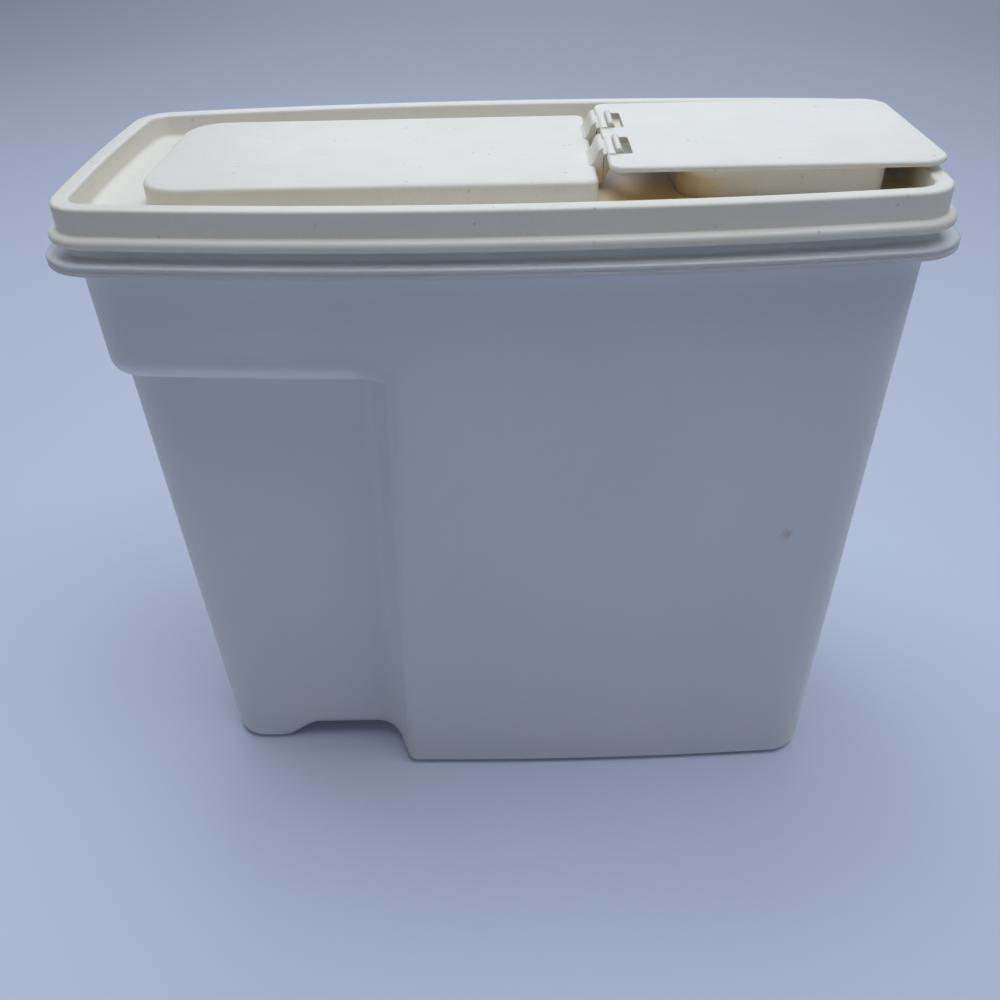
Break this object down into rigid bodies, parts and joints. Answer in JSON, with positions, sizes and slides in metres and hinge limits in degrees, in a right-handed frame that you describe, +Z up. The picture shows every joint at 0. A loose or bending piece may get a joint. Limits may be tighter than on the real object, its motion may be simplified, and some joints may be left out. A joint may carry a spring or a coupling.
{
  "type": "cereal container with flip spout",
  "caption": "Tapered translucent dry-food container with a cut-in hand grip, and an ivory press-on lid whose hinged flap covers a pouring opening.",
  "frame": {"origin": "middle of the base, on the surface that the container stands on", "axes": "+X along the length towards the pouring end, -Y towards the front of the picture, +Z up"},
  "size_m": [0.2428, 0.1138, 0.2195],
  "materials": {
    "frosted_plastic": "natural translucent moulded plastic, satin",
    "ivory_plastic": "opaque ivory moulded plastic, satin",
    "ivory_flap_plastic": "opaque ivory moulded plastic, satin, finely scratched"
  },
  "bodies": {
    "container": {"container": "frosted_plastic"},
    "lid": {"lid": "ivory_plastic"},
    "flap": {"flap": "ivory_flap_plastic"}
  },
  "joints": [
    {"name": "lid_lift", "type": "slide", "parent": "container", "child": "lid", "axis": [0, 0, 1], "range_m": [0, 0.06]},
    {"name": "flap_hinge", "type": "hinge", "parent": "lid", "child": "flap", "pos_m": [0.0303, 0, 0.21715], "axis": [0, -1, 0], "range_deg": [-0.6, 180]}
  ]
}
